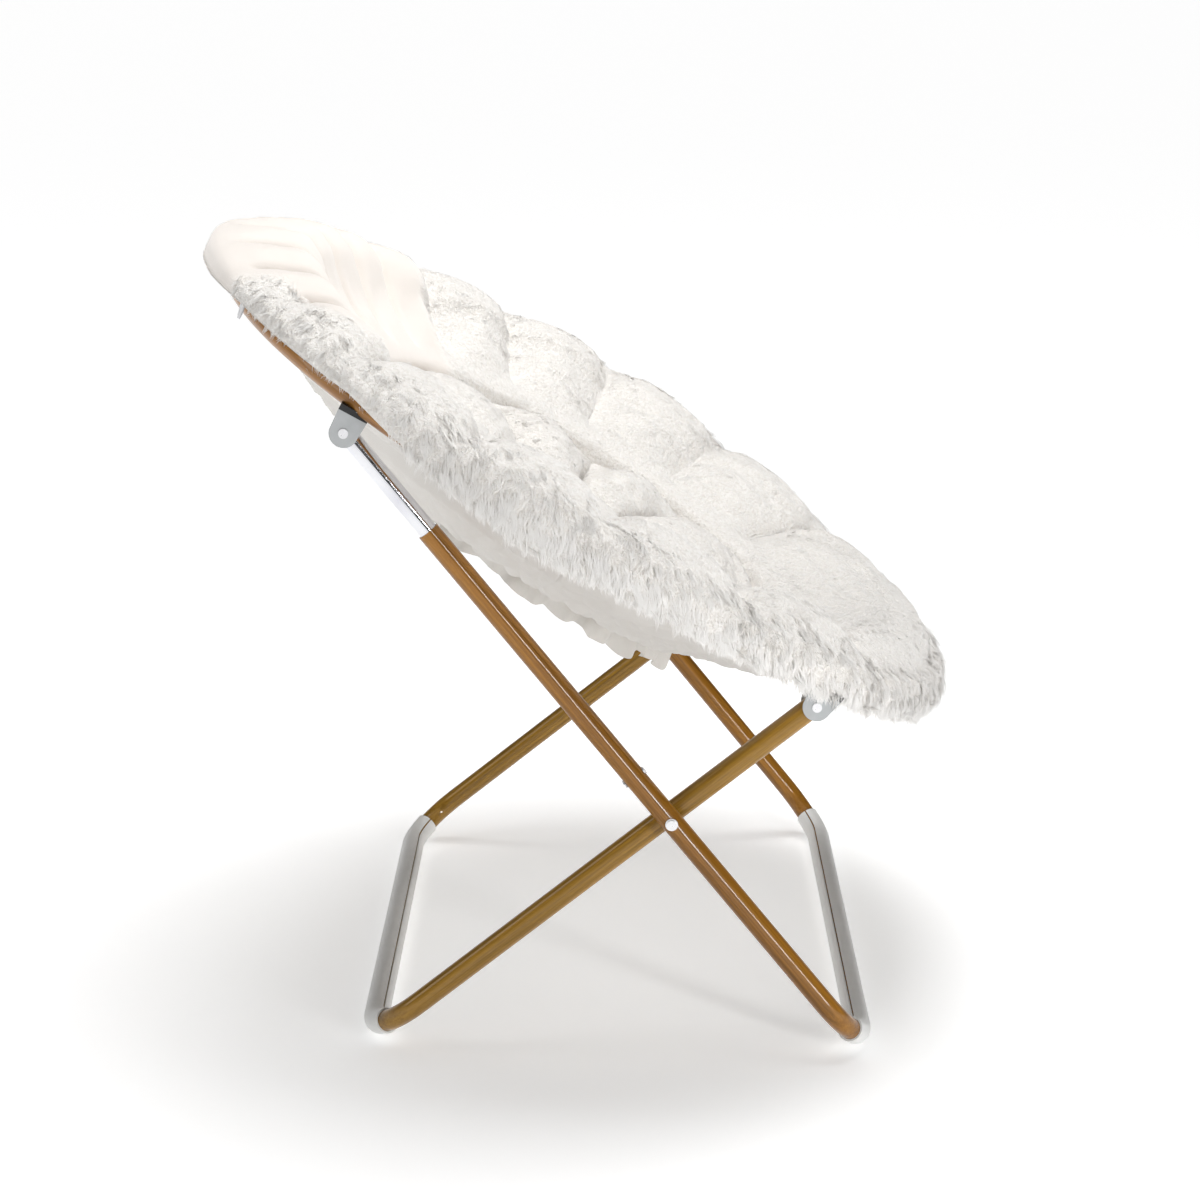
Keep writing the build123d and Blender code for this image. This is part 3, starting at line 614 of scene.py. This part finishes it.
def skin_normals(points):
    """Outward directions of a grid that closes both ways."""
    round_way = np.roll(points, -1, 0) - np.roll(points, 1, 0)
    section_way = np.roll(points, -1, 1) - np.roll(points, 1, 1)
    normals = np.cross(round_way, section_way)
    return normals / np.maximum(np.linalg.norm(normals, axis=-1, keepdims=True), 1e-12)


def shaved_share(turn, radius):
    """1 behind the head, where the plush is shaved short, and 0 where its pile is long."""
    edge = 136 + 17 * smooth(radius, 0.385, 0.445)
    return smooth(np.abs(np.degrees(turn)), edge - 3, edge + 3)


plush = Finish("cream_plush", Roughness=0.95, Sheen_Weight=0.35, Sheen_Roughness=0.5)
shaved = plush.node("ShaderNodeAttribute", {"attribute_name": "shaved"}, {}, "Fac")
plush_cloud = plush.noise(plush.place(), 9.0, 4.0)
plush_tuft = plush.noise(plush.place(), 300.0, 3.0, 0.6)
plush_lump = plush.noise(plush.place(), 70.0, 4.0, 0.6)
plush_nap = plush.noise(plush.place(), 1300.0, 2.0, 0.5)
plush_cream = plush.dye(plush_cloud, paint((231, 223, 215)), paint((239, 233, 227)))
# Painted shade: the long pile is whiter on the raised tufts and darker in the dips between them, following
# the same noise as their relief.
tuft_shaded_white = plush.dye(plush.step(plush_tuft, 0.3, 0.62), paint((232, 227, 220)), paint((246, 243, 239)))
plush.wire("Base Color", plush.dye(shaved, tuft_shaded_white, plush_cream))
long_relief = (plush_tuft * 0.5 + plush_lump * 0.9) * (1.0 - shaved)
shaved_relief = (plush_nap * 0.06 + plush_lump * 0.12) * shaved
plush.dent(long_relief + shaved_relief, 0.006)


def remember(piece, name, values):
    """Keeps a value at each point of a piece for its finish to read."""
    kept = piece.data.attributes.new(name, "FLOAT", "POINT")
    kept.data.foreach_set("value", np.asarray(values, np.float32).ravel())


def stuffed(points, held, most):
    """Blows up a grid of cloth between the stitches that hold it, and returns the filled grid.

    The cloth is a little too large for its place, as on a stuffed cover, so it puckers at the seams.
    Where held is 1 it stays, and nowhere does it move by more than most. The rows close to a round.
    """
    skip, last_frame = 2, 20
    rows, columns = np.arange(0, points.shape[0], skip), np.arange(0, points.shape[1], skip)
    columns = np.unique(np.append(columns, points.shape[1] - 1))
    coarse = points[rows][:, columns]
    cover = cloth_mesh("cover", coarse, plush, close_rows=True, close_columns=False)
    stitches = cover.vertex_groups.new(name="stitches")
    for spot, grip in enumerate(held[rows][:, columns].ravel().tolist()):
        stitches.add([spot], grip, "REPLACE")
    filling = cover.modifiers.new("filling", "CLOTH")
    filling.point_cache.frame_end = last_frame
    filling.collision_settings.use_collision = False
    cloth = filling.settings
    cloth.vertex_group_mass = "stitches"
    cloth.use_pressure = True
    cloth.uniform_pressure_force = 4.0
    cloth.shrink_min = -0.03
    cloth.tension_stiffness = cloth.compression_stiffness = 12.0
    cloth.bending_stiffness = 0.4
    cloth.effector_weights.gravity = 0.0
    for moment in range(1, last_frame + 1):
        scene.frame_set(moment)
    settled = cover.evaluated_get(bpy.context.evaluated_depsgraph_get()).data
    found = np.empty(coarse.size)
    settled.vertices.foreach_get("co", found)
    bpy.data.objects.remove(cover)
    scene.frame_set(1)
    moved = found.reshape(coarse.shape) - coarse
    length = np.linalg.norm(moved, axis=-1, keepdims=True)
    moved *= np.minimum(1.0, most / np.maximum(length, 1e-9))
    for _ in range(3):
        eased = (np.roll(moved, 1, 0) + np.roll(moved, -1, 0)) / 2
        eased[:, 1:-1] = (eased[:, 1:-1] + (moved[:, 2:] + moved[:, :-2]) / 2) / 2
        moved = (moved + eased) / 2
    moved = np.concatenate([moved, moved[:1]])
    row_at = np.arange(points.shape[0]) / skip
    column_at = np.interp(np.arange(points.shape[1]), columns, np.arange(len(columns)))
    low_row = np.floor(row_at).astype(int)
    low_column = np.minimum(np.floor(column_at).astype(int), len(columns) - 2)
    down, over = (row_at - low_row)[:, None, None], (column_at - low_column)[None, :, None]

    def between_columns(row):
        at_row = moved[row]
        return at_row[:, low_column] * (1 - over) + at_row[:, low_column + 1] * over

    return points + (between_columns(low_row) * (1 - down) + between_columns(low_row + 1) * down)


rim_turn = np.linspace(-np.pi, np.pi, 901)[:-1]
corner_steps = 4
section = rounded(rim_section(rim_turn), corner_steps)
rim_radii = section[:, 0].T
rim_heights = section[:, 1].T
turn_grid = np.repeat(rim_turn[:, None], rim_radii.shape[1], axis=1)
rim_points = on_seat(turn_grid, rim_radii, rim_heights)
rim_outward = skin_normals(rim_points)
degrees_grid = np.degrees(turn_grid)
share, off_seam = on_segments(degrees_grid, rim_seams)
seam_distance = off_seam * np.pi / 180 * rim_radii
rim_shaved = shaved_share(turn_grid, rim_radii)
on_top = smooth(rim_heights, -0.03, 0.0) * (1 - smooth(rim_radii, ring_radius + 0.006, ring_radius + 0.02))
past_bowl = smooth(rim_radii, 0.245, 0.285)
inner_wall = past_bowl * (1 - smooth(rim_radii, 0.385, 0.425))
seam_strength = 0.3 + 0.7 * np.maximum(inner_wall, 0.8 * rim_shaved * past_bowl)
puff = 0.013 * (np.abs(np.sin(np.pi * share)) ** 0.55 - 0.6) * (1 - 0.4 * rim_shaved)
crease_width, crease_depth = 0.018 - 0.012 * rim_shaved, 0.010 - 0.003 * rim_shaved
crease = np.exp(-(seam_distance / crease_width) ** 2) * crease_depth
rim_relief = on_top * (puff - crease) * seam_strength
rim_points = rim_points + rim_outward * rim_relief[..., None]
rim_stitches = np.exp(-(seam_distance / 0.006) ** 2) * seam_strength
held = np.maximum(1 - on_top, rim_stitches)
outside = smooth(rim_radii, 0.375, 0.425)
top_columns = slice(0, 12 * corner_steps)
swollen = stuffed(rim_points[:, top_columns], held[:, top_columns], 0.013)
ease = (1 - 0.75 * outside * (1 - 0.5 * rim_shaved))[:, top_columns, None]
rim_points[:, top_columns] += (swollen - rim_points[:, top_columns]) * ease
rim_relief = on_top * 0.0022 * ripple(5, turn_grid, rim_radii * 40, 40, 34) * (1 - 0.8 * rim_shaved)
rim_points += skin_normals(rim_points) * rim_relief[..., None]
rim = cloth_mesh("rim_plush", rim_points, plush, close_rows=True)
remember(rim, "shaved", rim_shaved)
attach(rim, "seat")
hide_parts("rim_roll")


# Tufted bowl -----------------------------------------------------------------------------------
# Eight stuffed pillows round one in the middle, drawn down by tufting between them. It is the same
# plush as the rim, laid over foam wadding.

pillow_seams = [0, 48, 84, 124, 180, -124, -84, -48]
bowl_turn = np.linspace(-np.pi, np.pi, 601)[:-1]
bowl_edge, bowl_hole = 0.2395, 0.003
top_radius = np.concatenate([np.linspace(bowl_edge, 0.236, 3), np.linspace(0.233, bowl_hole, 74)])
top_grid_turn, top_grid_radius = np.meshgrid(bowl_turn, top_radius, indexing="ij")
share, off_seam = on_segments(np.degrees(top_grid_turn), pillow_seams)
middle_edge = 0.085
ring_share = np.clip((top_grid_radius - middle_edge) / (bowl_edge - middle_edge), 0, 1)
pillow = (np.abs(np.sin(np.pi * share)) ** 0.55) * (np.sin(np.pi * ring_share) ** 0.55)
middle = np.clip(1 - (top_grid_radius / 0.088) ** 2, 0, 1) ** 0.5
top_height = -0.066 + 0.040 * pillow + 0.016 * middle
top_height += 0.012 * smooth(top_grid_radius, 0.20, bowl_edge)
between = off_seam * np.pi / 180 * top_grid_radius
spoke_stitches = np.exp(-(between / 0.005) ** 2) * smooth(top_grid_radius, 0.07, middle_edge)
round_stitches = np.exp(-((top_grid_radius - 0.086) / 0.005) ** 2)
held = np.maximum(spoke_stitches, round_stitches)
held = np.maximum(held, smooth(top_grid_radius, 0.224, 0.232))
top_points = stuffed(on_seat(top_grid_turn, top_grid_radius, top_height), held, 0.018)
top_relief = 0.0018 * ripple(8, top_grid_turn, top_grid_radius * 40, 40, 30)
top_points[..., 2] += top_relief * smooth(top_grid_radius, 0.0, 0.08)
low_radius = np.linspace(bowl_hole, bowl_edge, 20)
low_grid_turn, low_grid_radius = np.meshgrid(bowl_turn, low_radius, indexing="ij")
bowl_points = np.concatenate([
    top_points,
    on_seat(low_grid_turn, low_grid_radius, under_seat(low_grid_radius) + 0.0005)], axis=1)
bowl = cloth_mesh("bowl_pillows", bowl_points, plush, close_rows=True)
remember(bowl, "shaved", np.zeros(bowl_points.shape[:2]))
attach(bowl, "seat")
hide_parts("seat_cushion")


# Long pile -------------------------------------------------------------------------------------
# The plush's own pile. It hangs in locks of about 14 mm on the outside of the rim, and is shorter
# over the bare tube at the back, on the top and in the bowl. A strand is a strip that tapers.

pile = Finish("plush_pile", Roughness=0.9, Sheen_Weight=0.3, Sheen_Roughness=0.5)
strand_tip = pile.node("ShaderNodeAttribute", {"attribute_name": "tip"}, {}, "Fac")
pile_cloud = pile.noise(pile.place(), 30.0, 3.0)
# Painted shade: each strand is darker at its root and near white at its tip, standing in for the shade
# deep in the pile. The root colour also varies at random.
pile_root_shade = pile.dye(pile_cloud, paint((226, 220, 211)), paint((238, 234, 228)))
pile.wire("Base Color", pile.dye(strand_tip ** 0.6, pile_root_shade, paint((250, 249, 247))))


def strand_mesh(name, corners, facing):
    """A piece of slim strips, each from five points: two at its foot, two half way up and its tip.

    The facing gives each strip its soft shading, and each has its own cell in a UV layout.
    """
    count = len(corners)
    strand = np.arange(count)
    foot = strand * 5
    lower = np.stack([foot, foot + 1, foot + 2, foot + 3], axis=1)
    upper = np.stack([foot + 3, foot + 2, foot + 4], axis=1)
    loops = np.concatenate([lower.ravel(), upper.ravel()])
    starts = np.concatenate([strand * 4, count * 4 + strand * 3])
    mesh = bpy.data.meshes.new(name)
    mesh.vertices.add(count * 5)
    mesh.vertices.foreach_set("co", corners.astype(np.float32).ravel())
    mesh.loops.add(len(loops))
    mesh.loops.foreach_set("vertex_index", loops.astype(np.int32))
    mesh.polygons.add(count * 2)
    mesh.polygons.foreach_set("loop_start", starts.astype(np.int32))
    mesh.polygons.foreach_set("use_smooth", [True] * (count * 2))
    mesh.update(calc_edges=True)
    mesh.materials.append(pile.material)
    piece = bpy.data.objects.new(name, mesh)
    scene.collection.objects.link(piece)
    remember(piece, "tip", np.tile([0.0, 0.0, 0.55, 0.55, 1.0], count))
    mesh.normals_split_custom_set_from_vertices(np.repeat(facing, 5, axis=0).tolist())
    side = math.ceil(math.sqrt(count))
    cells = np.stack([strand % side, strand // side], axis=1)
    patch = np.array([[0.1, 0.1], [0.9, 0.1], [0.8, 0.5], [0.2, 0.5], [0.5, 0.95]])
    spots = (cells[:, None] + patch) / side
    mesh.uv_layers.new(name="OFBake").data.foreach_set(
        "uv", spots.reshape(-1, 2)[loops].astype(np.float32).ravel())
    return piece


def pile_strands(name, points, weight, reach, locks, per_lock, width, lie, tangle, stand, droop, seed):
    """Strands in locks that stand on a grid of points and lean the way the pile lies.

    The weight says how thickly the locks stand at each point, and the reach how long they are there.
    """
    rng = np.random.default_rng(seed)
    right, below = np.roll(points, -1, 0), np.roll(points, -1, 1)
    share = np.linalg.norm(np.cross(right - points, below - points), axis=-1) * weight
    chance = np.cumsum(share.ravel())
    picked = np.searchsorted(chance, rng.uniform(0, chance[-1], locks))
    row, column = np.unravel_index(picked, share.shape)
    over, down = rng.uniform(0, 1, (2, locks, 1))
    corner = points[row, column]
    root = corner + (right[row, column] - corner) * over + (below[row, column] - corner) * down
    normal = skin_normals(points)[row, column]
    fall = lie(root) + rng.normal(0, tangle, (locks, 3))
    fall -= normal * (fall * normal).sum(-1, keepdims=True)
    fall /= np.maximum(np.linalg.norm(fall, axis=-1, keepdims=True), 1e-9)
    across = np.cross(fall, normal)

    def each(values):
        """A lock's value for each of its strands."""
        return np.repeat(values, per_lock, axis=0)

    count = locks * per_lock
    normal, fall, across, root = each(normal), each(fall), each(across), each(root)
    aside = rng.normal(0, width * 4.5, (2, count, 1))
    lock_length = reach[row, column][:, None] * rng.uniform(0.75, 1.15, (locks, 1))
    length = each(lock_length) * rng.uniform(0.8, 1.1, (count, 1))
    lift = each(rng.uniform(0.2, 1.0, (locks, 1))) * stand
    splay = fall * aside[0] + across * aside[1]
    sunk = 0.0012
    stem = root + splay - normal * sunk
    middle = stem + length * 0.5 * (normal * lift * 1.4 + fall * 0.8) - 0.25 * splay
    tip = root + 0.45 * splay + length * (normal * lift + fall * 0.85)
    tip += rng.normal(0, 0.06, (count, 3)) * length - np.array([0, 0, 1.0]) * length * droop
    flat = across + normal * rng.normal(0, 0.15, (count, 1))
    flat *= width / 2 / np.linalg.norm(flat, axis=-1, keepdims=True)
    outwards = (np.cross(flat, middle - stem) * normal).sum(-1, keepdims=True)
    flat = np.where(outwards < 0, -flat, flat)
    corners = np.stack(
        [stem - flat, stem + flat, middle + flat * 0.75, middle - flat * 0.75, tip], axis=1)
    facing = normal * 0.8 + fall * 0.2 + np.array([0, 0, 0.15])
    facing /= np.linalg.norm(facing, axis=-1, keepdims=True)
    piece = strand_mesh(name, corners, facing)
    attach(piece, "seat")


def hanging(root):
    """The pile hangs, and leans outwards."""
    away = root - np.array(ring_middle)
    away[:, 2] = 0
    away /= np.linalg.norm(away, axis=-1, keepdims=True)
    return np.array([0, 0, -1.0]) + 0.35 * away


def brushed(root):
    """The pile is brushed down and towards the front, in slow swirls."""
    x, y = root[:, 0], root[:, 1]
    swirl = np.stack(
        [np.sin(y * 31 + x * 17), np.cos(x * 23 - y * 13), np.sin(x * 19 + 1.0)], axis=-1)
    return np.array([0.60, 0, -0.35]) + 0.25 * swirl


thin_out = 1
over_tube = smooth(np.abs(degrees_grid), 112, 122)
outer_side = smooth(rim_radii, 0.405, 0.432) * (1 - rim_shaved)
outer_side *= smooth(rim_heights, -0.03 + 0.035 * over_tube, -0.012 + 0.028 * over_tube)
outer_side *= 1 + 3 * smooth(-rim_heights, -0.002, 0.006)
low_edge = 1 - smooth(rim_heights, -0.004, 0.02)
rim_reach = 0.014 - (0.003 + 0.007 * low_edge) * over_tube
upper_side = (1 - smooth(rim_radii, 0.405, 0.432)) * smooth(rim_heights, -0.04, -0.02) * (1 - rim_shaved)
pile_strands("rim_long_pile", rim_points, weight=outer_side, reach=rim_reach,
             locks=5200 // thin_out, per_lock=16, width=0.0008,
             lie=hanging, tangle=0.25, stand=0.45, droop=0.2, seed=21)
pile_strands("rim_top_pile", rim_points, weight=upper_side, reach=rim_reach * 0.7,
             locks=5200 // thin_out, per_lock=14, width=0.0007,
             lie=brushed, tangle=0.25, stand=0.15, droop=0.0, seed=22)
bowl_top = np.zeros(bowl_points.shape[:2])
bowl_top[:, 2:len(top_radius)] = 1.0
pile_strands("bowl_pile", bowl_points, weight=bowl_top, reach=bowl_top * 0.008,
             locks=3000 // thin_out, per_lock=14, width=0.0007,
             lie=brushed, tangle=0.3, stand=0.15, droop=0.0, seed=23)


# Blank label -----------------------------------------------------------------------------------
# A small folded tab of white satin ribbon, sewn into the lip at the back. Nothing is printed on it.

ribbon = Finish("label_ribbon", Roughness=0.5, Sheen_Weight=0.2)
ribbon_cloud = ribbon.noise(ribbon.place(), 300.0, 3.0)
ribbon.wire("Base Color", ribbon.dye(ribbon_cloud, paint((222, 222, 224)), paint((238, 238, 240))))
ribbon.dent(ribbon.noise(ribbon.place(), 2400.0, 2.0), 0.00005)
label_seam, label_place = 0.459, -150
label_across, label_down = np.meshgrid(np.linspace(-0.5, 0.5, 11), np.linspace(0, 1, 31))
folded = 1 - np.abs(2 * label_down - 1)
label_wide = 0.0125 - 0.0085 * folded ** 2
label_aside = label_across * label_wide + 0.002 * folded
label_turn = np.radians(label_place) + label_aside / label_seam
label_radius = label_seam + np.where(label_down > 0.5, -0.0006, 0.0006) * (1 - folded ** 6)
label_radius += 0.0008 * np.sin(5 * label_across + 2.5 * folded) - 0.003 * folded
label_height = 0.013 - 0.021 * folded
label_points = on_seat(label_turn, label_radius, label_height)
label = cloth_mesh("blank_label", label_points, ribbon, close_columns=False)
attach(label, "seat")
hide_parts("fabric_label")
